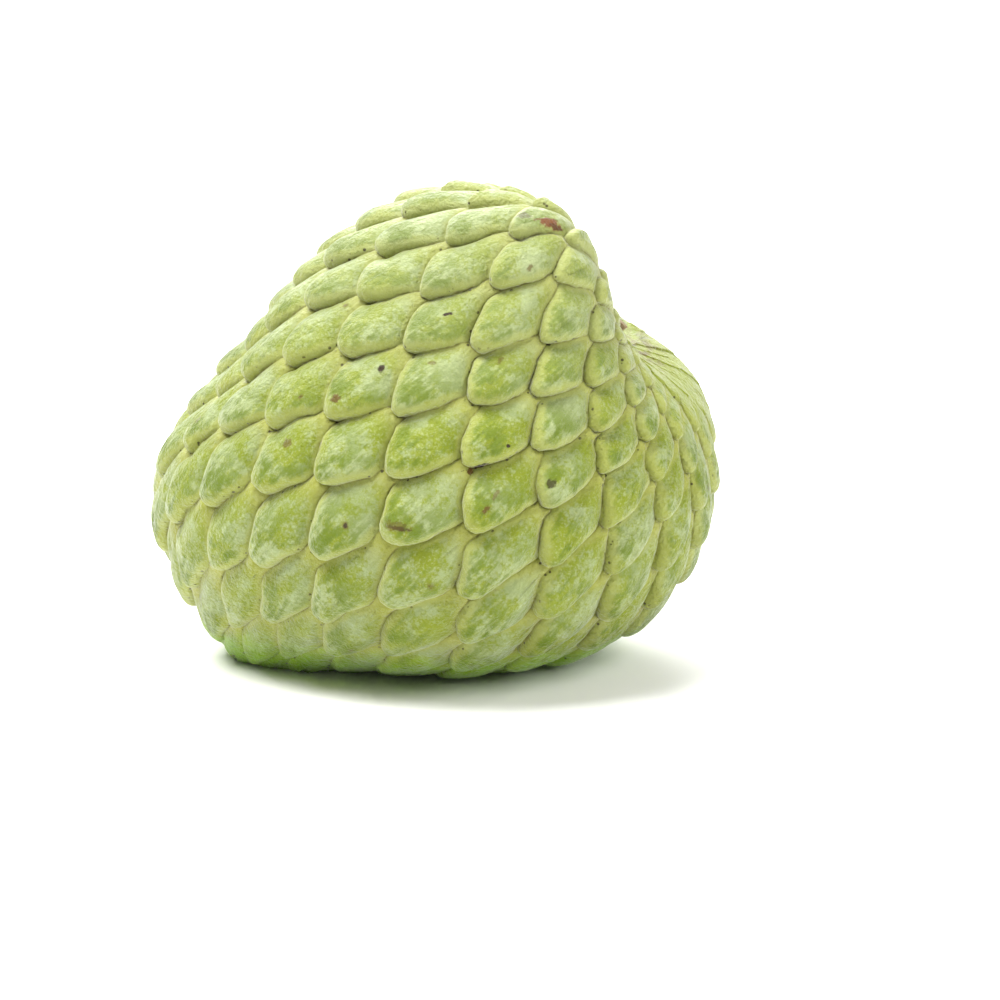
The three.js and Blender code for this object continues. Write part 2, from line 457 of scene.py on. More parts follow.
    def beside(self, ring: int, column: int, place: Pair, side: int) -> Pair:
        """Returns a place on a scale's side edge.

        Args:
            ring: The scale's ring.
            column: Its column, in half scales.
            place: Rings past the scale's middle, and half scales aside from it.
            side: -1 for the left side and 1 for the right one.

        Returns:
            The place's ring and column.
        """
        ring_place = ring + place[0] + self.side_wander * self.draw.draw()
        return ring_place, column + side * (place[1] + self.side_wander * self.draw.draw())

    def through(self, controls: list[Pair], piece: int, steps: tuple[int, ...]) -> list[Pair]:
        """Samples several pieces of a smooth curve, with the control points between them.

        Args:
            controls: Ring and column of each control point.
            piece: The number of the first piece.
            steps: How many steps each piece is cut into.

        Returns:
            The places between the two ends, without the ends.
        """
        places: list[Pair] = []
        for number, count in enumerate(steps):
            places += self.curve(controls, piece + number, count)
            if number < len(steps) - 1:
                places.append(controls[piece + number + 1])
        return places

    def straight(self, start: Place, end: Place) -> list[Place]:
        """Adds a straight run between two corners.

        Args:
            start: The first corner.
            end: The last one.

        Returns:
            Every place of the run, with both ends.
        """
        rings, columns = end.ring - start.ring, end.column - start.column
        shares = [step / self.end_steps for step in range(1, self.end_steps)]
        between = [(start.ring + share * rings, start.column + share * columns) for share in shares]
        return self.run((start, end), between)

    def curve_of(self, ring: int, column: int, part: str) -> list[Place]:
        """Finds part of another scale's tip edge.

        Args:
            ring: That scale's ring.
            column: Its column, past either end of the round too.
            part: Which part of the edge: left, tip or right.

        Returns:
            The part's places, backwards, with their columns unwound.
        """
        wrapped = column % self.round
        found = self.curves[ring, wrapped][part]
        shift = column - wrapped
        return [Place(p.vertex, p.ring, p.column + shift) for p in reversed(found)]

    def root_edge(self, ring: int, column: int) -> list[Place]:
        """Finds a scale's root edge, made of the tip edges of the scales before it.

        Args:
            ring: The scale's ring.
            column: Its column.

        Returns:
            The places along it, from its right corner to its left one.
        """
        if ring == self.body.first_ring:
            right = self.corner("left", ring, column + 1)
            left = self.corner("right", ring, column - 1)
            self.curves[ring, column]["root"] = self.straight(right, left)
            return self.curves[ring, column]["root"]
        places = self.curve_of(ring - 1, column + 1, "left")[:-1]
        if ring == self.body.first_ring + 1:
            right = self.corner("right", ring - 1, column)
            left = self.corner("left", ring - 1, column)
            self.curves[ring, column]["root"] = self.straight(right, left)
            places += self.curves[ring, column]["root"][:-1]
        else:
            places += self.curve_of(ring - 2, column, "tip")[:-1]
        return places + self.curve_of(ring - 1, column - 1, "right")

    def tip_edge(self, ring: int, column: int) -> list[Place]:
        """Finds a scale's tip edge.

        Args:
            ring: The scale's ring.
            column: Its column.

        Returns:
            The places along it, from its left corner to its right one.
        """
        own = self.curves[ring, column]
        if ring == self.body.last_ring:
            return own["tip"]
        return own["left"][:-1] + own["tip"][:-1] + own["right"]

    def lay_scales(self) -> None:
        """Fills every scale's outline with levels that climb to its crown."""
        heights = Wander(self.seed + 1)
        number = 0
        for ring in range(self.body.first_ring, self.body.last_ring + 1):
            for column in self.columns_of(ring, for_corners=False):
                lift = self.height_wander * heights.draw()
                large = self.first_large_ring <= ring <= self.last_large_ring
                levels = self.large_levels if large else self.small_levels
                self.lay_scale(ring, column, lift, levels, number)
                number += 1

    def lay_scale(
        self, ring: int, column: int, lift: float, levels: tuple[float, ...], number: int
    ) -> None:
        """Fills one scale.

        Args:
            ring: The scale's ring.
            column: Its column, in half scales.
            lift: How much higher than the others it stands.
            levels: How far in from its edge each loop of vertices lies, as a share of the way.
            number: The scale's number, for its finish.
        """
        tip_edge = self.tip_edge(ring, column)
        root_edge = self.root_edge(ring, column)
        self.outlines.append(([p.vertex for p in tip_edge], [p.vertex for p in root_edge]))
        self.middles.append((ring, column))
        outline = tip_edge[:-1] + root_edge[:-1]
        loops = [[place.vertex for place in outline]]
        seats = [[(place.ring - ring, place.column - column) for place in outline]]
        for level in levels:
            loop = []
            seat = []
            for place in outline:
                spine = ring + self.spine_share * (place.ring - ring)
                ring_place = place.ring + level * (spine - place.ring)
                column_place = place.column + level * (column - place.column)
                depth = 1 + (self.groove[place.vertex] - 1) * (1 - level) ** self.pit_fade
                vertex = self.add_vertex(ring_place, column_place, depth)
                self.lift[vertex] = lift
                self.aside[vertex] = (place.ring - ring, place.column - column)
                self.own_scale[vertex] = number
                loop.append(vertex)
                seat.append((ring_place - ring, column_place - column))
            loops.append(loop)
            seats.append(seat)
        crown = self.add_vertex(ring, column)
        self.lift[crown] = lift
        self.own_scale[crown] = number
        count = len(outline)
        for depth in range(len(loops) - 1):
            for i in range(count):
                j = (i + 1) % count
                cell = ((depth, i), (depth, j), (depth + 1, j), (depth + 1, i))
                self.faces.append(tuple(loops[d][k] for d, k in cell))
                self.corner_data.extend((*seats[d][k], number) for d, k in cell)
        for i in range(count):
            j = (i + 1) % count
            self.faces.append((loops[-1][i], loops[-1][j], crown))
            self.corner_data.append((*seats[-1][i], number))
            self.corner_data.append((*seats[-1][j], number))
            self.corner_data.append((0.0, 0.0, number))

    def edge_distances(self, points: np.ndarray) -> tuple[np.ndarray, np.ndarray]:
        """Measures how far each vertex lies from its scale's two edges.

        A distance blends those to all parts of an edge, so that it has no fold between two parts that
        are as near. Beside a long straight edge it is the plain distance.

        Args:
            points: The vertices on the smooth body.

        Returns:
            The distances from the tip edge and from the root edge, nought on the creases.
        """
        from_tip, from_root = np.zeros(len(points)), np.zeros(len(points))
        owners = np.array(self.own_scale)
        shares = ((np.arange(self.edge_samples) + 0.5) / self.edge_samples)[:, None, None]
        for number, edges in enumerate(self.outlines):
            inside = np.nonzero(owners == number)[0]
            for edge, result in zip(edges, (from_tip, from_root)):
                starts, ends = points[edge[:-1]], points[edge[1:]]
                samples = (starts + shares * (ends - starts)).reshape(-1, 3)
                lengths = np.linalg.norm(ends - starts, axis=1)
                lengths = np.tile(lengths, self.edge_samples) / self.edge_samples
                gaps = np.linalg.norm(points[inside][:, None] - samples, axis=2)
                pull = np.sum(lengths / np.maximum(gaps, self.least_gap) ** 4, axis=1)
                result[inside] = (2 / math.pi * pull) ** (-1 / 3)
        return from_tip, from_root

    def end_loop(self, ring: int, inner_ring: int, part: str) -> list[int]:
        """Lists the vertices round an end of the net.

        Args:
            ring: The last ring at that end.
            inner_ring: The ring beside it.
            part: Which edge of their scales lies open: the root at the stem, the tip at the apex.

        Returns:
            The vertices' numbers, once round, in the order that closes the skin.
        """
        loop: list[int] = []
        for column in self.columns_of(ring, for_corners=True):
            short = self.curves[inner_ring, column][part]
            chord = self.curves[ring, (column + 1) % self.round][part]
            for edge in (short, chord):
                ordered = edge[::-1] if part == "root" else edge
                loop += [place.vertex for place in ordered[:-1]]
        return loop if part == "root" else loop[::-1]


@dataclass(frozen=True)
class Change:
    """A smooth change of a value: where it starts and ends, and the results there."""

    low: float
    high: float
    start: float = 0.0
    end: float = 1.0


@dataclass(frozen=True)
class Pattern:
    """A noise pattern: the size of its features, its finer layers and where in it the surface lies."""

    size: float
    detail: float
    rough: float
    shift: float = 0.0


class NodeMaker:
    """Adds and links nodes in a tree, so that a tree reads as a list of steps."""

    def __init__(self, tree: bpy.types.NodeTree) -> None:
        """Keeps the tree that the nodes go in."""
        self.tree = tree

    def add(
        self, kind: str, inputs: dict[str | int, object] | None = None, **settings: object
    ) -> bpy.types.Node:
        """Adds a node.

        Args:
            kind: The node's type name.
            inputs: What goes into its sockets: another socket to link, or a plain value.
            **settings: Properties to set on the node itself.

        Returns:
            The new node.
        """
        node = self.tree.nodes.new(kind)
        for name, value in settings.items():
            setattr(node, name, value)
        for key, value in (inputs or {}).items():
            self.feed(node.inputs[key], value)
        return node

    def feed(self, socket: Socket, value: object) -> None:
        """Links a socket to another one, or sets its value.

        Args:
            socket: The socket to feed.
            value: The other socket, or a plain value.
        """
        if isinstance(value, Socket):
            self.tree.links.new(value, socket)
        else:
            socket.default_value = value

    def math(self, operation: str, *values: object) -> Socket:
        """Adds a Math node and returns its result."""
        return self.add("ShaderNodeMath", dict(enumerate(values)), operation=operation).outputs[0]

    def plus(self, first: object, *others: object) -> Socket:
        """Adds values up, one after another.

        Args:
            first: The first value or socket.
            *others: The values or sockets to add.

        Returns:
            The sum.
        """
        for value in others:
            first = self.math("ADD", first, value)
        return first

    def minus(self, first: object, second: object) -> Socket:
        """Takes the second value from the first and returns what is left."""
        return self.math("SUBTRACT", first, second)

    def times(self, first: object, *others: object) -> Socket:
        """Multiplies values, one after another.

        Args:
            first: The first value or socket.
            *others: The values or sockets to multiply by.

        Returns:
            The product.
        """
        for value in others:
            first = self.math("MULTIPLY", first, value)
        return first

    def ramp(self, value: object, change: Change) -> Socket:
        """Maps a value by a smooth change.

        Args:
            value: The value or socket to map.
            change: Where it starts and ends, and the results there.

        Returns:
            The mapped value.
        """
        inputs = {
            "Value": value,
            "From Min": change.low,
            "From Max": change.high,
            "To Min": change.start,
            "To Max": change.end,
        }
        node = self.add("ShaderNodeMapRange", inputs, interpolation_type="SMOOTHSTEP")
        return node.outputs["Result"]


@dataclass
class ReliefTree:
    """The Geometry Nodes tree that raises the scales from the smooth skin."""

    groove_depth: float = 2.1 * MM
    crown_height: float = 2.2 * MM
    tip_lift: float = 1.8 * MM
    overhang: float = 0.5 * MM
    unevenness: float = 0.35 * MM
    unevenness_size: float = 7.0 * MM
    step_share: float = 0.5
    step_width: float = 0.9 * MM
    tip_width: float = 4.2 * MM
    root_width: float = 4.2 * MM
    overhang_place: float = 0.8 * MM
    overhang_tip: Change = Change(0.0, 0.8)
    shape_by_boldness: Change = Change(0.05, 0.6, 0.1, 1.0)
    crown_by_boldness: Change = Change(0.05, 0.75, 0.3, 1.0)
    unevenness_detail: float = 2.0
    seed: int = 3

    def inputs(self) -> dict[str, float]:
        """Lists the tree's named inputs.

        Returns:
            Each input's name and value.
        """
        return {
            "Groove Depth": self.groove_depth,
            "Crown Height": self.crown_height,
            "Tip Lift": self.tip_lift,
            "Overhang": self.overhang,
            "Unevenness": self.unevenness,
            "Unevenness Size": self.unevenness_size,
            "Seed": float(self.seed),
        }

    def build(self, material: bpy.types.Material) -> bpy.types.NodeTree:
        """Builds the tree.

        Args:
            material: The skin's finish.

        Returns:
            The tree, ready for a modifier.
        """
        tree = bpy.data.node_groups.new("raise scales", "GeometryNodeTree")
        tree.interface.new_socket("Geometry", in_out="INPUT", socket_type="NodeSocketGeometry")
        tree.interface.new_socket("Geometry", in_out="OUTPUT", socket_type="NodeSocketGeometry")
        for name in self.inputs():
            tree.interface.new_socket(name, in_out="INPUT", socket_type="NodeSocketFloat")
        make = NodeMaker(tree)
        given = make.add("NodeGroupInput").outputs
        height = self.height(make, given)
        offset = self.offset(make, given, height)
        raised = make.add("GeometryNodeSetPosition", {"Geometry": given["Geometry"], "Offset": offset})
        rested = self.rest(make, raised.outputs["Geometry"])
        real = make.add("GeometryNodeRealizeInstances", {"Geometry": rested})
        smooth = make.add("GeometryNodeSetShadeSmooth", {"Geometry": real.outputs["Geometry"]})
        dressed = make.add(
            "GeometryNodeSetMaterial", {"Geometry": smooth.outputs["Geometry"], "Material": material}
        )
        make.add("NodeGroupOutput", {"Geometry": dressed.outputs["Geometry"]})
        return tree

    def read(self, make: NodeMaker, attribute: Attribute, kind: str = "FLOAT") -> Socket:
        """Reads a named attribute in the tree and returns its socket."""
        node = make.add("GeometryNodeInputNamedAttribute", {"Name": attribute.value}, data_type=kind)
        return next(s for s in node.outputs if s.enabled and s.name == "Attribute")

    def height(self, make: NodeMaker, given: bpy.types.NodeOutputs) -> Socket:
        """Works out how far each vertex stands over the smooth body.

        Args:
            make: The tree's node maker.
            given: The tree's inputs.

        Returns:
            The height's socket.
        """
        from_tip = self.read(make, Attribute.FROM_TIP)
        from_root = self.read(make, Attribute.FROM_ROOT)
        along = self.read(make, Attribute.ALONG)
        lift = self.read(make, Attribute.LIFT)
        bold = self.read(make, Attribute.BOLDNESS)
        groove = make.times(given["Groove Depth"], self.read(make, Attribute.GROOVE), bold)
        step = make.times(self.rise(make, from_tip, self.step_width), self.step_share)
        dome = make.times(self.rise(make, from_tip, self.tip_width), 1 - self.step_share)
        shape = make.times(make.plus(step, dome), self.rise(make, from_root, self.root_width))
        clear = make.ramp(bold, self.shape_by_boldness)
        shape = make.minus(1.0, make.times(clear, make.minus(1.0, shape)))
        crown = make.times(given["Crown Height"], make.ramp(bold, self.crown_by_boldness))
        tilt = make.times(given["Tip Lift"], bold, along)
        inputs = {
            "Vector": make.add("GeometryNodeInputPosition").outputs[0],
            "W": given["Seed"],
            "Scale": make.math("DIVIDE", 1.0, given["Unevenness Size"]),
            "Detail": self.unevenness_detail,
        }
        noise = make.add("ShaderNodeTexNoise", inputs, noise_dimensions="4D")
        bumps = make.times(make.minus(noise.outputs[0], 0.5), 2.0)
        uneven = make.times(given["Unevenness"], bumps)
        above = make.plus(crown, groove, lift, tilt, uneven)
        return make.minus(make.times(above, shape), groove)

    def rise(self, make: NodeMaker, distance: Socket, width: float) -> Socket:
        """Climbs from 0 on a crease towards 1, most of it within a width."""
        fall = make.math("EXPONENT", make.math("DIVIDE", make.times(distance, -1.0), width))
        return make.minus(1.0, fall)

    def offset(self, make: NodeMaker, given: bpy.types.NodeOutputs, height: Socket) -> Socket:
        """Turns the height into a move outwards, with the tips leaning over their creases.

        Args:
            make: The tree's node maker.
            given: The tree's inputs.
            height: How far each vertex stands out.

        Returns:
            The move's socket.
        """
        outward = self.read(make, Attribute.OUTWARD, "FLOAT_VECTOR")
        aside = self.read(make, Attribute.ASIDE, "FLOAT_VECTOR")
        place = make.math("DIVIDE", self.read(make, Attribute.FROM_TIP), self.overhang_place)
        swell = make.times(place, make.math("EXPONENT", make.minus(1.0, place)))
        tipward = make.ramp(self.read(make, Attribute.ALONG), self.overhang_tip)
        bold = self.read(make, Attribute.BOLDNESS)
        lean = make.times(given["Overhang"], bold, swell, tipward)
        up = make.add("ShaderNodeVectorMath", {0: outward, "Scale": height}, operation="SCALE")
        aslant = make.add("ShaderNodeVectorMath", {0: aside, "Scale": lean}, operation="SCALE")
        moves = {0: up.outputs[0], 1: aslant.outputs[0]}
        return make.add("ShaderNodeVectorMath", moves, operation="ADD").outputs[0]

    def rest(self, make: NodeMaker, geometry: Socket) -> Socket:
        """Presses what would sink below the resting plane flat against it.

        Args:
            make: The tree's node maker.
            geometry: The raised skin.

        Returns:
            The pressed skin.
        """
        position = make.add("GeometryNodeInputPosition").outputs[0]
        parts = make.add("ShaderNodeSeparateXYZ", {0: position}).outputs
        kept = make.math("MAXIMUM", parts["Z"], 0.0)
        pressed = make.add("ShaderNodeCombineXYZ", {"X": parts["X"], "Y": parts["Y"], "Z": kept})
        inputs = {"Geometry": geometry, "Position": pressed.outputs[0]}
        return make.add("GeometryNodeSetPosition", inputs).outputs["Geometry"]


class FinishMaker(NodeMaker):
    """Adds the nodes that the layers of a finish share."""

    BELOW = 6
    ABOVE = 7
    MIXED = 2

    def place(self) -> Socket:
        """Returns the object coordinates."""
        return self.add("ShaderNodeTexCoord").outputs["Object"]

    def read(self, attribute: Attribute) -> Socket:
        """Reads a number from the mesh and returns its socket."""
        return self.add("ShaderNodeAttribute", attribute_name=attribute.value).outputs["Fac"]

    def millimetres(self, attribute: Attribute) -> Socket:
        """Reads a distance from the mesh and returns it in millimetres."""
        return self.math("DIVIDE", self.read(attribute), MM)

    def mix(self, share: object, below: object, above: Colour) -> Socket:
        """Lays one colour over another.

        Args:
            share: How much of the upper colour shows.
            below: The lower colour, or its socket.
            above: The upper colour.

        Returns:
            The mixed colour's socket.
        """
        node = self.add("ShaderNodeMix", {"Factor": share}, data_type="RGBA")
        self.feed(node.inputs[self.BELOW], (*below, 1.0) if isinstance(below, tuple) else below)
        self.feed(node.inputs[self.ABOVE], (*above, 1.0))
        return node.outputs[self.MIXED]

    def noise(self, pattern: Pattern) -> Socket:
        """Adds a noise pattern.

        Args:
            pattern: The pattern's sizes.

        Returns:
            The socket of its value.
        """
        inputs = {
            "Vector": self.place(),
            "Scale": 1.0 / pattern.size,
            "Detail": pattern.detail,
            "W": pattern.shift,
            "Roughness": pattern.rough,
        }
        return self.add("ShaderNodeTexNoise", inputs, noise_dimensions="4D").outputs[0]

    def cells(self, size: float, channel: int) -> tuple[Socket, Socket]:
        """Scatters cells over the surface.

        Args:
            size: The cells' size, in metres.
            channel: Which part of a cell's random colour gives its chance.

        Returns:
            The distance from the nearest cell's middle, and that cell's chance.
        """
        inputs = {"Vector": self.place(), "Scale": 1.0 / size, "Randomness": 1.0}
        cells = self.add("ShaderNodeTexVoronoi", inputs)
        chances = self.add("ShaderNodeSeparateColor", {"Color": cells.outputs["Color"]})
        return cells.outputs["Distance"], chances.outputs[channel]

    def finish(self, inputs: dict[str, object]) -> None:
        """Adds the shader and the material's output.

        Args:
            inputs: What goes into the shader's sockets.
        """
        shader = self.add("ShaderNodeBsdfPrincipled", inputs)
        self.add("ShaderNodeOutputMaterial", {"Surface": shader.outputs[0]})


def new_finish(name: str) -> tuple[bpy.types.Material, FinishMaker]:
    """Makes an empty material.

    Args:
        name: The material's name.

    Returns:
        The material, and the maker that adds its nodes.
    """
    material = bpy.data.materials.new(name)
    material.use_nodes = True
    material.node_tree.nodes.clear()
    return material, FinishMaker(material.node_tree)


class Ink(Enum):
    """What a mark on the skin looks like: its colour, in linear red, green and blue."""

    SCAR = (0.17, 0.045, 0.016)
    GREY = (0.13, 0.12, 0.07)
    BROWN = (0.095, 0.048, 0.0)
    DARK = (0.026, 0.013, 0.0)


@dataclass(frozen=True)
class Mark:
    """A bruise, scar or scratch: where it lies as seen from the body's centre, and its size."""

    azimuth: float
    elevation: float
    length: float
    width: float
    slant: float
    ink: Ink
    strength: float = 1.0
    depth: float = 12 * MM
    raggedness: float = 2.2
    full_inside: float = 0.7
    gone_outside: float = 1.15

    def lay(self, make: FinishMaker, colour: Socket, body: FruitBody, ragged: Socket) -> Socket:
        """Draws the mark with a ragged edge.

        Args:
            make: The material's node maker.
            colour: The colour so far.
            body: The body that the mark lies on.
            ragged: The noise that makes its edge uneven.

        Returns:
            The colour's socket.
        """
        out = direction(self.azimuth, self.elevation)
        level = direction(self.azimuth + 90, 0)
        up = np.cross(out, level)
        slant = math.radians(self.slant)
        longways = level * math.cos(slant) + up * math.sin(slant)
        sideways = up * math.cos(slant) - level * math.sin(slant)
        inputs = {0: make.place(), 1: tuple(body.point_towards(out))}
        away = make.add("ShaderNodeVectorMath", inputs, operation="SUBTRACT").outputs[0]
        parts = []
        for axis, size in ((longways, self.length), (sideways, self.width), (out, self.depth)):
            inputs = {0: away, 1: tuple(axis * 2 / size)}
            dot = make.add("ShaderNodeVectorMath", inputs, operation="DOT_PRODUCT")
            parts.append(make.math("POWER", make.math("ABSOLUTE", dot.outputs["Value"]), 2.0))
        distance = make.math("SQRT", make.plus(*parts))
        edge = make.plus(distance, make.times(make.minus(ragged, 0.5), self.raggedness))
        cover = Change(self.full_inside, self.gone_outside, self.strength, 0.0)
        return make.mix(make.ramp(edge, cover), colour, self.ink.value)


MARKS = (
    Mark(304, 60.6, 6.7 * MM, 2.2 * MM, -25, Ink.SCAR, 0.9),
    Mark(306, 59.8, 3.6 * MM, 0.88 * MM, -22, Ink.DARK, 0.5),
    Mark(296, 63.0, 3.4 * MM, 1.6 * MM, -12, Ink.GREY, 0.7),
    Mark(275.2, 17.1, 5.5 * MM, 0.56 * MM, 14, Ink.DARK),
    Mark(273.6, 16.2, 2 * MM, 1.5 * MM, 40, Ink.BROWN),
    Mark(257.9, 3.6, 4.8 * MM, 1.1 * MM, -8, Ink.DARK, 0.8),
    Mark(257.2, 4.0, 6.2 * MM, 2.4 * MM, -8, Ink.BROWN, 0.5),
    Mark(250.1, 37.8, 1.6 * MM, 2.1 * MM, 0, Ink.DARK),
    Mark(240.1, 30.0, 2.4 * MM, 2 * MM, 0, Ink.BROWN, 0.9),
    Mark(264.1, 39.3, 1.9 * MM, 1.1 * MM, 0, Ink.BROWN, 0.6),
    Mark(282.2, 39.4, 2.6 * MM, 1.2 * MM, 50, Ink.BROWN, 0.6),
    Mark(236.9, 20.1, 1.8 * MM, 2.8 * MM, -10, Ink.BROWN, 0.7),
    Mark(282.3, 21.1, 1.2 * MM, 0.88 * MM, 0, Ink.DARK),
    Mark(291.9, 12.5, 2.4 * MM, 1.9 * MM, 30, Ink.DARK, 0.8),
    Mark(276.8, 7.8, 2.2 * MM, 1.4 * MM, 45, Ink.BROWN, 0.9),
    Mark(279.0, 10.8, 2.9 * MM, 1 * MM, 55, Ink.BROWN, 0.6),
    Mark(268.0, 49.0, 2.4 * MM, 0.75 * MM, 15, Ink.DARK),
    Mark(228.8, 19.4, 2.4 * MM, 2.2 * MM, 0, Ink.BROWN, 0.7),
    Mark(194.4, 18.2, 1.8 * MM, 1.9 * MM, 0, Ink.GREY, 0.7),
    Mark(292.8, 53.6, 1.8 * MM, 1 * MM, 20, Ink.BROWN, 0.7),
)


@dataclass(frozen=True)
class Bloom:
    """Clouds of pale bloom and fine pale specks."""

    white: Colour = (0.330, 0.387, 0.20)
    speck_white: Colour = (0.44, 0.49, 0.24)
    cloud: Pattern = Pattern(8 * MM, 3.0, 0.5, 9.0)
    fine: Pattern = Pattern(0.9 * MM, 3.0, 0.65, 4.0)
    fine_share: float = 0.7
    scale_share: float = 0.14
    dust: Change = Change(0.82, 1.06, 0.0, 0.75)
    specks: Pattern = Pattern(0.55 * MM, 2.0, 0.7, 7.0)
    speck_cover: Change = Change(0.5, 0.68, 0.0, 0.42)

    def lay(self, make: FinishMaker, colour: Colour) -> Socket:
        """Dusts the skin.

        Args:
            make: The material's node maker.
            colour: The colour so far.

        Returns:
            The colour's socket.
        """
        number = make.times(make.read(Attribute.SCALE), self.scale_share)
        fine = make.times(make.noise(self.fine), self.fine_share)
        frost = make.plus(make.noise(self.cloud), number, fine)
        colour = make.mix(make.ramp(frost, self.dust), colour, self.white)
        specks = make.ramp(make.noise(self.specks), self.speck_cover)
        return make.mix(specks, colour, self.speck_white)


@dataclass(frozen=True)
class ScaleColours:
    """The pale rims, the green middles and the yellow roots of the scales, with a painted highlight
    towards the top and painted bounce light on the underside. Widths are in millimetres.
    """

    leaf_green: Colour = (0.198, 0.243, 0.005)
    deep_green: Colour = (0.112, 0.166, 0.0)
    rim_green: Colour = (0.325, 0.350, 0.078)
    saddle_yellow: Colour = (0.320, 0.325, 0.060)
    # Painted highlight: a pale tone over the upper part, standing in for the sheen of the light from
    # above.
    painted_crown_sheen: Colour = (0.375, 0.415, 0.22)
    # Painted bounce light: a brighter green on the underside, standing in for light bounced up from the
    # floor.
    painted_floor_bounce_green: Colour = (0.22, 0.43, 0.002)
    bloom: Bloom = Bloom()
    mottle: Pattern = Pattern(5 * MM, 5.0, 0.65)
    root_narrowing: float = 1.3
    rim_wander: float = 2.6
    rim: Change = Change(2.1, 3.7)
    rim_share: float = 0.8
    streak_across: float = 9.0
    streak_along: float = 2.2
    streak_shift: float = 90.0
    streak_detail: float = 3.0
    streak_rough: float = 0.6
    mottle_share: float = 0.6
    scale_share: float = 0.06
    patch: Change = Change(0.47, 0.6, 0.0, 0.95)
    deep_tip: Change = Change(-0.35, 0.6, 0.25, 1.0)
    yellow_root: Change = Change(-0.3, -0.95, 0.0, 0.7)
    plain_saddle: Change = Change(0.2, 0.5, 0.8, 0.0)
    # How far the painted highlight reaches towards the top, and where the painted bounce light fades
    # near the bottom.
    painted_crown_sheen_cover: Change = Change(55 * MM, 105 * MM, 0.0, 0.22)
    painted_floor_bounce_wander: float = 14 * MM
    painted_floor_bounce_cover: Change = Change(9 * MM, 19 * MM, 0.75, 0.0)

    def lay(self, make: FinishMaker) -> Socket:
        """Paints the scales, with a painted highlight towards the top and painted bounce light on the
        underside.

        Args:
            make: The material's node maker.

        Returns:
            The colour's socket.
        """
        from_tip = make.millimetres(Attribute.FROM_TIP)
        from_root = make.millimetres(Attribute.FROM_ROOT)
        along = make.read(Attribute.TIPWARD)
        number = make.read(Attribute.SCALE)
        mottle = make.noise(self.mottle)
        edge = make.math("MINIMUM", from_tip, make.times(from_root, self.root_narrowing))
        inside = make.ramp(make.plus(edge, make.times(mottle, self.rim_wander)), self.rim)
        colour = self.bloom.lay(make, self.leaf_green)
        rim = make.times(make.minus(1.0, inside), self.rim_share)
        colour = make.mix(rim, colour, self.rim_green)
        streaks = make.times(self.streaks(make, along, number), 1 - self.mottle_share)
        shade = make.plus(make.times(mottle, self.mottle_share), streaks)
        patch = make.ramp(make.plus(shade, make.times(number, self.scale_share)), self.patch)
        deep = make.times(make.ramp(along, self.deep_tip), inside, patch)
        colour = make.mix(deep, colour, self.deep_green)
        colour = make.mix(make.ramp(along, self.yellow_root), colour, self.saddle_yellow)
        plain = make.ramp(make.read(Attribute.BOLDNESS), self.plain_saddle)
        colour = make.mix(plain, colour, self.leaf_green)
        height = make.add("ShaderNodeSeparateXYZ", {0: make.place()}).outputs["Z"]
        # Painted highlight: paler towards the top, where the light from above falls.
        colour = make.mix(make.ramp(height, self.painted_crown_sheen_cover), colour, self.painted_crown_sheen)
        # Painted bounce light: brighter green near the bottom, with a ragged upper edge.
        ragged = make.plus(height, make.times(mottle, self.painted_floor_bounce_wander))
        return make.mix(make.ramp(ragged, self.painted_floor_bounce_cover), colour, self.painted_floor_bounce_green)

    def streaks(self, make: FinishMaker, along: Socket, number: Socket) -> Socket:
        """Adds a noise drawn out from root to tip, other on every scale.

        Args:
            make: The material's node maker.
            along: How far towards its scale's tip a place lies.
            number: Its scale's random number.

        Returns:
            The socket of its value.
        """
        inputs = {
            "X": make.times(make.read(Attribute.ACROSS), self.streak_across),
            "Y": make.times(along, self.streak_along),
            "Z": make.times(number, self.streak_shift),
        }
        seat = make.add("ShaderNodeCombineXYZ", inputs)
        inputs = {
            "Vector": seat.outputs[0],
            "Scale": 1.0,
            "Detail": self.streak_detail,
            "Roughness": self.streak_rough,
        }
        return make.add("ShaderNodeTexNoise", inputs).outputs[0]


@dataclass(frozen=True)
class Spots:
    """The odd brown spot with a dark heart."""

    spacing: float = 9 * MM
    wobble: Pattern = Pattern(1.6 * MM, 3.0, 0.6, 12.0)
    wobble_share: float = 0.2
    size: Change = Change(0.5, 1.0, 0.0, 0.17)
    margin: float = 0.06
    stain: Change = Change(-0.02, 0.06, 0.0, 0.75)
    heart: Change = Change(0.03, 0.07, 0.0, 0.9)

    def lay(self, make: FinishMaker, colour: Socket) -> Socket:
        """Adds the spots.

        Args:
            make: The material's node maker.
            colour: The colour so far.

        Returns:
            The colour's socket.
        """
        distance, chance = make.cells(self.spacing, 0)
        near = make.plus(distance, make.times(make.noise(self.wobble), self.wobble_share))
        depth = make.minus(make.plus(make.ramp(chance, self.size), self.margin), near)
        colour = make.mix(make.ramp(depth, self.stain), colour, Ink.BROWN.value)
        return make.mix(make.ramp(depth, self.heart), colour, Ink.DARK.value)


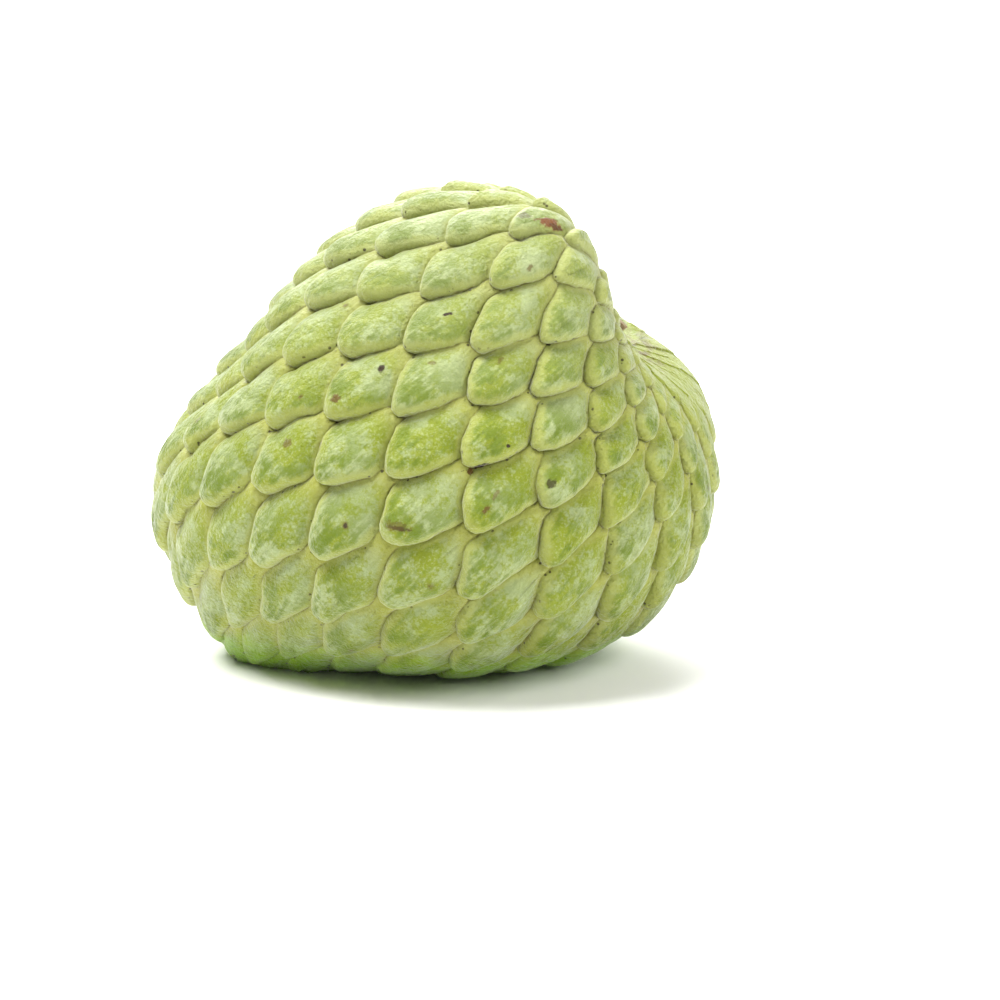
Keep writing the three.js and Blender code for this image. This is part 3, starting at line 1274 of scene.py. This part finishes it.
@dataclass(frozen=True)
class Creases:
    """Painted shade along the creases, uneven in strength, and tiny dark crumbs along them. Widths are
    in millimetres.
    """

    painted_crease_shade: Colour = (0.085, 0.065, 0.008)
    unevenness: Pattern = Pattern(2.5 * MM, 4.0, 0.65, 15.0)
    strength: Change = Change(0.35, 0.65, 0.0, 0.75)
    by_boldness: Change = Change(0.2, 0.6)
    width: Change = Change(0.0, 0.4, 1.0, 0.0)
    crumb_spacing: float = 1.3 * MM
    crumb_size: Change = Change(0.62, 1.0, 0.0, 0.34)
    crumb_edge: Change = Change(0.0, 0.06)
    crumb_reach: Change = Change(0.5, 1.1, 0.85, 0.0)

    def lay(self, make: FinishMaker, colour: Socket) -> Socket:
        """Darkens the creases.

        Args:
            make: The material's node maker.
            colour: The colour so far.

        Returns:
            Paints shade into the creases and adds the dark crumbs.
        """
        from_tip = make.millimetres(Attribute.FROM_TIP)
        from_root = make.millimetres(Attribute.FROM_ROOT)
        edge = make.math("MINIMUM", from_tip, from_root)
        strength = make.ramp(make.noise(self.unevenness), self.strength)
        bold = make.ramp(make.read(Attribute.BOLDNESS), self.by_boldness)
        # Painted shade: a dark band along each crease that fades with the distance from it. The crumbs
        # after it are the skin's own dark bits.
        crease = make.times(make.ramp(edge, self.width), bold, strength)
        colour = make.mix(crease, colour, self.painted_crease_shade)
        distance, chance = make.cells(self.crumb_spacing, 1)
        crumb = make.ramp(make.minus(make.ramp(chance, self.crumb_size), distance), self.crumb_edge)
        near = make.ramp(edge, self.crumb_reach)
        return make.mix(make.times(crumb, near), colour, Ink.DARK.value)


@dataclass(frozen=True)
class Cork:
    """Brown corky patches inside the stem hollow."""

    brown: Colour = (0.12, 0.085, 0.03)
    patches: Pattern = Pattern(2.5 * MM, 4.0, 0.6, 21.0)
    patch_cover: Change = Change(0.42, 0.6)
    reach: Change = Change(9 * MM, 21 * MM, 0.9, 0.0)

    def lay(self, make: FinishMaker, colour: Socket, body: FruitBody) -> Socket:
        """Browns the skin near the stem.

        Args:
            make: The material's node maker.
            colour: The colour so far.
            body: The body that the skin lies on.

        Returns:
            The colour's socket.
        """
        inputs = {0: make.place(), 1: tuple(body.point_towards(body.stem))}
        away = make.add("ShaderNodeVectorMath", inputs, operation="DISTANCE").outputs["Value"]
        patches = make.ramp(make.noise(self.patches), self.patch_cover)
        near = make.ramp(away, self.reach)
        return make.mix(make.times(patches, near), colour, self.brown)


@dataclass(frozen=True)
class SkinFinish:
    """The fruit's waxy yellow-green skin."""

    scales: ScaleColours = ScaleColours()
    spots: Spots = Spots()
    creases: Creases = Creases()
    cork: Cork = Cork()
    marks: tuple[Mark, ...] = MARKS
    mark_edges: Pattern = Pattern(0.9 * MM, 3.0, 0.6, 18.0)
    roughness: float = 0.42
    gloss: float = 0.3
    sheen: float = 0.38
    sheen_roughness: float = 0.3
    velvet: Pattern = Pattern(0.9 * MM, 3.0, 0.7, 2.0)
    dimples: Pattern = Pattern(3.2 * MM, 3.0, 0.55, 6.0)
    dimple_share: float = 1.1
    grain_depth: float = 0.8 * MM

    def build(self, body: FruitBody) -> bpy.types.Material:
        """Builds the skin's material.

        Args:
            body: The body that the marks are placed on.

        Returns:
            The material.
        """
        material, make = new_finish("custard apple skin")
        colour = self.scales.lay(make)
        colour = self.spots.lay(make, colour)
        colour = self.creases.lay(make, colour)
        colour = self.cork.lay(make, colour, body)
        ragged = make.noise(self.mark_edges)
        for mark in self.marks:
            colour = mark.lay(make, colour, body, ragged)
        make.finish(
            {
                "Base Color": colour,
                "Roughness": self.roughness,
                "Specular IOR Level": self.gloss,
                "Sheen Weight": self.sheen,
                "Sheen Roughness": self.sheen_roughness,
                "Normal": self.grain(make),
            }
        )
        return material

    def grain(self, make: FinishMaker) -> Socket:
        """Adds the velvety grain and the shallow dimples.

        Args:
            make: The material's node maker.

        Returns:
            The normal's socket.
        """
        dimples = make.times(make.noise(self.dimples), self.dimple_share)
        height = make.plus(make.noise(self.velvet), dimples)
        inputs = {"Height": height, "Strength": 1.0, "Distance": self.grain_depth}
        return make.add("ShaderNodeBump", inputs).outputs[0]


@dataclass(frozen=True)
class StubFinish:
    """Dry brown stalk wood."""

    bark: Colour = (0.20, 0.13, 0.065)
    cut: Colour = (0.36, 0.27, 0.15)
    fibre_scale: float = 900.0
    fibre_detail: float = 5.0
    fibre_cover: Change = Change(0.35, 0.65)
    fibre_strength: float = 0.7
    fibre_depth: float = 0.4 * MM
    roughness: float = 0.85

    def build(self) -> bpy.types.Material:
        """Builds the stub's material.

        Returns:
            The material.
        """
        material, make = new_finish("stalk wood")
        inputs = {"Vector": make.place(), "Scale": self.fibre_scale, "Detail": self.fibre_detail}
        fibre = make.add("ShaderNodeTexNoise", inputs).outputs[0]
        mixed = make.mix(make.ramp(fibre, self.fibre_cover), self.bark, self.cut)
        inputs = {"Height": fibre, "Strength": self.fibre_strength, "Distance": self.fibre_depth}
        bump = make.add("ShaderNodeBump", inputs)
        make.finish({"Base Color": mixed, "Roughness": self.roughness, "Normal": bump.outputs[0]})
        return material


def add_object(name: str, data: bpy.types.ID) -> bpy.types.Object:
    """Puts a mesh, light or camera in the scene.

    Args:
        name: The new object's name.
        data: What it shows.

    Returns:
        The new object.
    """
    added = bpy.data.objects.new(name, data)
    bpy.context.scene.collection.objects.link(added)
    return added


@dataclass
class Fruit:
    """The fruit: its scales, stem hollow and apex in one closed skin."""

    body: FruitBody
    relief: ReliefTree = field(default_factory=ReliefTree)
    finish: SkinFinish = field(default_factory=SkinFinish)
    floor_radius: float = 5.4 * MM
    floor_drop: float = 3.2 * MM
    apex_boldness: float = 0.6
    base_boldness: float = 0.55
    base_height: float = 15.0 * MM
    saddle_boldness: float = 0.08
    saddle_azimuth: float = 12.0
    saddle_elevation: float = 40.0
    saddle_width: float = 0.4
    saddle_plateau: float = 1.5
    apex_fade_rings: Pair = (4.5, 9)
    far_from_edges: float = 6 * MM
    least_length: float = 1e-9
    number_spread: float = 0.6180339887
    floor_levels: tuple[float, ...] = (0.15, 0.35, 0.6, 0.85)
    button_levels: tuple[float, ...] = (0.08, 0.25, 0.5, 0.75)

    def build(self) -> bpy.types.Object:
        """Builds and dresses the skin.

        Returns:
            The skin's object.
        """
        net = ScaleNet(self.body)
        positions, faces = self.close_ends(net)
        mesh = bpy.data.meshes.new("fruit skin")
        mesh.from_pydata(positions.tolist(), [], faces)
        self.store(mesh, net)
        return self.apply_relief(add_object("fruit_skin", mesh))

    def floor_centre(self) -> np.ndarray:
        """Returns the middle of the stem hollow's floor."""
        return self.body.point_towards(self.body.stem) - self.body.stem * self.floor_drop

    def close_ends(self, net: ScaleNet) -> tuple[np.ndarray, list[tuple[int, ...]]]:
        """Closes the stem hollow and the apex.

        Args:
            net: The scales' net.

        Returns:
            Every vertex's place on the smooth body, and every face.
        """
        body_points = self.body.points(np.array(net.ring), np.array(net.column))
        points, faces = [body_points], list(net.faces)
        first, last = self.body.first_ring, self.body.last_ring
        stem, middle = self.body.stem, self.floor_centre()
        outer = net.end_loop(first, first + 1, "root")
        arms = body_points[outer] - middle
        spokes = unit(arms - (arms @ stem)[:, None] * stem)
        floor = middle + spokes * self.floor_radius
        self.add_cap(points, faces, outer, floor, self.floor_levels, middle)
        outer = net.end_loop(last, last - 1, "tip")
        tip = self.body.point_towards(self.body.apex)
        self.add_cap(points, faces, outer, tip, self.button_levels, tip)
        return np.concatenate(points), faces

    def add_cap(
        self,
        points: list[np.ndarray],
        faces: list[tuple[int, ...]],
        outer: list[int],
        goal: np.ndarray,
        levels: tuple[float, ...],
        middle: np.ndarray,
    ) -> None:
        """Closes an end of the net with loops of vertices and a middle one.

        Args:
            points: The vertices so far, added to here.
            faces: The faces so far, added to here.
            outer: The vertices round the open end.
            goal: The points that the loops close in on.
            levels: How far towards the goal each loop lies.
            middle: The middle vertex's place.
        """
        rim, loop = points[0][outer], outer
        count = sum(len(group) for group in points)
        for level in levels:
            inner = list(range(count, count + len(outer)))
            points.append(rim + (goal - rim) * level)
            for i in range(len(outer)):
                j = (i + 1) % len(outer)
                faces.append((loop[i], loop[j], inner[j], inner[i]))
            loop = inner
            count += len(outer)
        points.append(middle[None])
        faces += [(loop[i], loop[(i + 1) % len(loop)], count) for i in range(len(loop))]

    def store(self, mesh: bpy.types.Mesh, net: ScaleNet) -> None:
        """Writes the attributes that the relief and the finish read.

        Args:
            mesh: The skin's mesh.
            net: The scales' net.
        """
        ring, column = np.array(net.ring), np.array(net.column)
        step_along, step_across = self.body.steps(ring, column)
        outward = unit(np.cross(step_along, step_across))
        centre_ward = self.body.lattice_direction(ring, column)
        outward *= np.sign(np.sum(outward * centre_ward, axis=1))[:, None]
        aside = np.array(net.aside)
        lean = step_along * aside[:, :1] + step_across * aside[:, 1:]
        lean /= np.maximum(np.linalg.norm(lean, axis=1), self.least_length)[:, None]
        from_tip, from_root = net.edge_distances(self.body.points(ring, column))
        middles = np.array([*net.middles, (0, 0)])[np.array(net.own_scale)]
        along = np.where(np.array(net.own_scale) < 0, 0.0, ring - middles[:, 0])
        seats = np.array(net.corner_data)
        point, corner, far = "POINT", "CORNER", self.far_from_edges
        self.write(mesh, Attribute.FROM_TIP, from_tip, point, far)
        self.write(mesh, Attribute.FROM_ROOT, from_root, point, far)
        self.write(mesh, Attribute.LIFT, np.array(net.lift), point)
        self.write(mesh, Attribute.GROOVE, np.array(net.groove), point, 1.0)
        self.write(mesh, Attribute.ALONG, along, point)
        self.write(mesh, Attribute.BOLDNESS, self.boldness(ring, column), point, 1.0)
        self.write(mesh, Attribute.OUTWARD, outward, point)
        self.write(mesh, Attribute.ASIDE, lean, point)
        self.write(mesh, Attribute.TIPWARD, seats[:, 0], corner)
        self.write(mesh, Attribute.ACROSS, seats[:, 1], corner)
        self.write(mesh, Attribute.SCALE, np.modf(seats[:, 2] * self.number_spread)[0], corner)

    def boldness(self, ring: np.ndarray, column: np.ndarray) -> np.ndarray:
        """Finds how strong the relief is: less at the apex, at the base and beside the hollow.

        Args:
            ring: Ring numbers.
            column: Columns counted in half scales.

        Returns:
            The relief's strength at each place, from 0 to 1.
        """
        heights = self.body.points(ring, column)[:, 2]
        by_ring = np.interp(ring, self.apex_fade_rings, (1, self.apex_boldness))
        by_height = np.interp(heights, (0, self.base_height), (self.base_boldness, 1))
        saddle = direction(self.saddle_azimuth, self.saddle_elevation)
        closeness = self.body.lattice_direction(ring, column) @ saddle - 1
        near = np.minimum(self.saddle_plateau * np.exp(closeness / self.saddle_width**2), 1)
        return by_ring * by_height * (1 - (1 - self.saddle_boldness) * near)

    def write(
        self, mesh: bpy.types.Mesh, name: Attribute, values: np.ndarray, domain: str, rest: float = 0.0
    ) -> None:
        """Writes an attribute.

        Args:
            mesh: The skin's mesh.
            name: The attribute.
            values: A number or a vector for each vertex or face corner of the net.
            domain: POINT for the vertices or CORNER for the face corners.
            rest: What the vertices or corners past the net get.
        """
        kind, key = ("FLOAT_VECTOR", "vector") if values.ndim > 1 else ("FLOAT", "value")
        count = len(mesh.vertices if domain == "POINT" else mesh.loops)
        whole = np.full((count, *values.shape[1:]), rest, np.float32)
        whole[: len(values)] = values
        mesh.attributes.new(name.value, kind, domain).data.foreach_set(key, whole.ravel())

    def apply_relief(self, fruit: bpy.types.Object) -> bpy.types.Object:
        """Raises the scales with the relief tree and keeps the result as a plain mesh.

        Args:
            fruit: The object with the smooth skin.

        Returns:
            The same object with its raised skin.
        """
        material = self.finish.build(self.body)
        tree = self.relief.build(material)
        modifier = fruit.modifiers.new("raise scales", "NODES")
        modifier.node_group = tree
        values = self.relief.inputs()
        for item in tree.interface.items_tree:
            if item.in_out == "INPUT" and item.name in values:
                modifier[item.identifier] = values[item.name]
        evaluated = fruit.evaluated_get(bpy.context.evaluated_depsgraph_get())
        mesh = bpy.data.meshes.new_from_object(evaluated)
        fruit.modifiers.remove(modifier)
        fruit.data = mesh
        return fruit


@dataclass
class StalkStub:
    """The short woody end of the stalk in the stem hollow."""

    foot_radius: float = 4.2 * MM
    neck_radius: float = 2.9 * MM
    cut_radius: float = 3.5 * MM
    flare_power: int = 3
    swell_power: int = 4
    length: float = 7.0 * MM
    sunk: float = 0.6 * MM
    cut_dish: float = 0.4 * MM
    flutes: tuple[tuple[int, float], ...] = ((3, 0.05), (7, 0.035), (12, 0.02))
    flute_spread: float = 3.0
    flute_twist: float = 2.0
    sides: int = 40
    rings: int = 22
    seed: int = 5
    finish: StubFinish = field(default_factory=StubFinish)

    def build(self, foot: np.ndarray, stem: np.ndarray) -> bpy.types.Object:
        """Builds the stub.

        Args:
            foot: The middle of the stem hollow's floor.
            stem: The stem's direction.

        Returns:
            The stub's object.
        """
        draw = Wander(self.seed)
        side = unit(np.cross(stem, np.array([0.0, 1.0, 0.0])))
        other = np.cross(stem, side)
        phases = [self.flute_spread * draw.draw() for _ in self.flutes]
        points, faces = [], []
        for ring in range(self.rings + 1):
            share = ring / self.rings
            radius = self.radius(share)
            height = -self.sunk + share * (self.length + self.sunk)
            for step in range(self.sides):
                turn = 2 * math.pi * step / self.sides
                bulge = 1.0
                for (count, size), phase in zip(self.flutes, phases):
                    bulge += size * math.sin(count * turn + phase + self.flute_twist * share)
                arm = side * math.cos(turn) + other * math.sin(turn)
                points.append(foot + stem * height + arm * radius * bulge)
        points.append(foot - stem * self.sunk)
        points.append(foot + stem * (self.length - self.cut_dish))
        low, high = len(points) - 2, len(points) - 1
        for step in range(self.sides):
            after = (step + 1) % self.sides
            for ring in range(self.rings):
                a, b = ring * self.sides, (ring + 1) * self.sides
                faces.append((a + step, a + after, b + after, b + step))
            faces.append((after, step, low))
            top = self.rings * self.sides
            faces.append((top + step, top + after, high))
        mesh = bpy.data.meshes.new("stalk stub")
        mesh.from_pydata([tuple(p) for p in points], [], faces)
        mesh.shade_smooth()
        mesh.materials.append(self.finish.build())
        return add_object("stalk_stub_wood", mesh)

    def radius(self, share: float) -> float:
        """Measures the stub.

        Args:
            share: How far up the stub, from 0 at its foot to 1 at its cut.

        Returns:
            The radius there.
        """
        flare = (1 - share) ** self.flare_power * (self.foot_radius - self.neck_radius)
        swell = share**self.swell_power * (self.cut_radius - self.neck_radius)
        return self.neck_radius + flare + swell


@dataclass(frozen=True)
class Lamp:
    """A soft square light: its place, the length of its side and its power in watts."""

    name: str
    place: Point
    size: float
    power: float


@dataclass
class Studio:
    """The pale floor, the soft lights and the camera."""

    centre: Point = (4.7 * MM, 0.7 * MM, 39.0 * MM)
    elevation_deg: float = 12.0
    distance: float = 0.7
    focal_pixels: float = 3038.0
    picture_pixels: float = 1000.0
    sensor: float = 36.0
    aim_right: float = 10.4 * MM
    aim_down: float = 2.3 * MM
    lamps: tuple[Lamp, ...] = (
        Lamp("key light", (-0.45, -0.12, 1.15), 0.7, 30.0),
        Lamp("fill light", (0.9, -0.5, 0.8), 0.8, 13.0),
        Lamp("back light", (-0.1, 0.9, 0.9), 0.9, 22.0),
    )
    sky_white: Colour = (1.0, 1.0, 1.0)
    sky_strength: float = 0.2
    floor_half: float = 3.0
    floor_back: float = 1.6
    floor_rise: float = 2.4
    floor_bend: float = 0.8
    bend_steps: int = 24
    floor_white: Colour = (0.93, 0.93, 0.92)
    floor_roughness: float = 0.7
    floor_gloss: float = 0.2

    def add_camera(self) -> None:
        """Adds the camera at the photograph's viewing angle."""
        rise = math.radians(self.elevation_deg)
        forward = Vector((0, math.cos(rise), -math.sin(rise)))
        up = Vector((0, math.sin(rise), math.cos(rise)))
        centre = Vector(self.centre)
        place = centre - forward * self.distance
        aim = centre + Vector((1, 0, 0)) * self.aim_right - up * self.aim_down
        data = bpy.data.cameras.new("camera")
        data.sensor_width = self.sensor
        data.lens = self.focal_pixels / self.picture_pixels * self.sensor
        camera = add_object("camera", data)
        camera.location = place
        camera.rotation_euler = (aim - place).to_track_quat("-Z", "Y").to_euler()
        bpy.context.scene.camera = camera

    def add_floor(self) -> None:
        """Adds a pale floor that sweeps up behind the fruit."""
        half, bend = self.floor_half, self.floor_bend
        start = self.floor_back - bend
        profile = [(-half, 0.0), (start, 0.0)]
        for step in range(1, self.bend_steps + 1):
            turn = math.pi / 2 * step / self.bend_steps
            profile.append((start + bend * math.sin(turn), bend - bend * math.cos(turn)))
        profile.append((self.floor_back, self.floor_rise))
        points = [(x, y, z) for y, z in profile for x in (-half, half)]
        faces = [(2 * i, 2 * i + 1, 2 * i + 3, 2 * i + 2) for i in range(len(profile) - 1)]
        mesh = bpy.data.meshes.new("floor")
        mesh.from_pydata(points, [], faces)
        mesh.shade_smooth()
        material = bpy.data.materials.new("floor")
        material.use_nodes = True
        shader = material.node_tree.nodes["Principled BSDF"]
        shader.inputs["Base Color"].default_value = (*self.floor_white, 1)
        shader.inputs["Roughness"].default_value = self.floor_roughness
        shader.inputs["Specular IOR Level"].default_value = self.floor_gloss
        mesh.materials.append(material)
        floor = add_object("floor", mesh)

    def add_lamp(self, lamp: Lamp) -> None:
        """Adds a light that points at the fruit.

        Args:
            lamp: Where it stands, its size and its power.
        """
        data = bpy.data.lights.new(lamp.name, "AREA")
        data.size = lamp.size
        data.energy = lamp.power
        light = add_object(lamp.name, data)
        light.location = lamp.place
        aim = Vector(self.centre) - light.location
        light.rotation_euler = aim.to_track_quat("-Z", "Y").to_euler()

    def build(self) -> None:
        """Sets up the whole studio."""
        self.add_camera()
        self.add_floor()
        for lamp in self.lamps:
            self.add_lamp(lamp)
        world = bpy.data.worlds.new("studio")
        world.use_nodes = True
        sky = world.node_tree.nodes["Background"]
        sky.inputs["Color"].default_value = (*self.sky_white, 1)
        sky.inputs["Strength"].default_value = self.sky_strength
        bpy.context.scene.world = world
        bpy.context.scene.view_settings.view_transform = "Standard"


def main() -> None:
    """Builds the scene and ties each piece to the frame."""
    logging.basicConfig(level=logging.INFO, format="%(message)s")
    Studio().build()
    body = FruitBody()
    fruit = Fruit(body)
    skin = fruit.build()
    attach(skin, "root")
    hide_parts("fruit")
    stub = StalkStub().build(fruit.floor_centre(), body.stem)
    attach(stub, "root")
    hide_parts("stalk_stub")
    for piece in (skin, stub):
        LOG.info("%s: %d faces", piece.name, len(piece.data.polygons))


if __name__ == "__main__":
    main()
